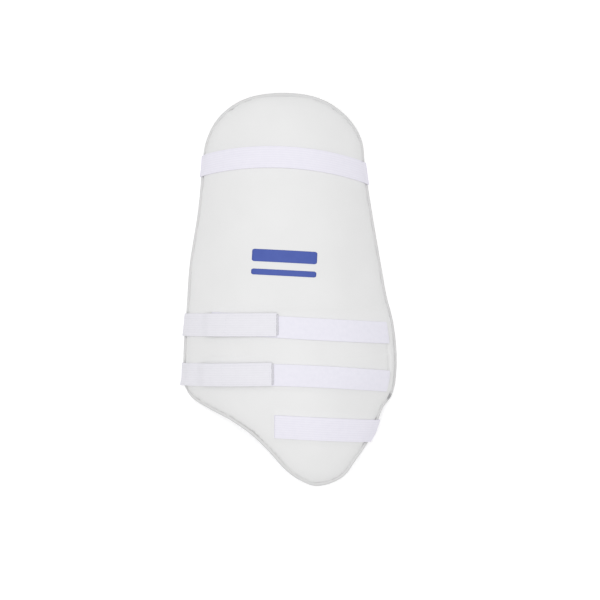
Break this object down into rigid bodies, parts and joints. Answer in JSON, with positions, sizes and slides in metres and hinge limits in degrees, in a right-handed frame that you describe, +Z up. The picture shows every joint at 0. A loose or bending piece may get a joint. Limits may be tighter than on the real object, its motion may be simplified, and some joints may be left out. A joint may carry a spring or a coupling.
{
  "type": "cricket thigh guard",
  "caption": "Curved padded thigh guard with a piped edge, a round upper end, a narrow tongue and elastic bands that cross its face and its hollow back.",
  "frame": {"origin": "on the surface that the guard lies on, under the middle of its outline, with the padded face up", "axes": "+X across the guard towards its wing side, +Y along it from the narrow tongue to the round end, +Z up out of the padded face"},
  "size_m": [0.2254, 0.4034, 0.0698],
  "materials": {
    "cover": "smooth coated off-white cloth over foam",
    "piping": "off-white binding cloth over a cord",
    "elastic": "white woven elastic with a faint lilac cast",
    "loop_tape": "matte white loop pile",
    "hook_tape": "white moulded hooks"
  },
  "bodies": {
    "root": {"thigh_pad": "cover", "edge_piping": "piping", "top_strap": "elastic", "upper_loop_strip": "loop_tape", "upper_strap": "elastic", "upper_hook_patch": "hook_tape", "lower_loop_strip": "loop_tape", "lower_strap": "elastic", "lower_hook_patch": "hook_tape", "bottom_strap": "elastic"}
  },
  "joints": []
}
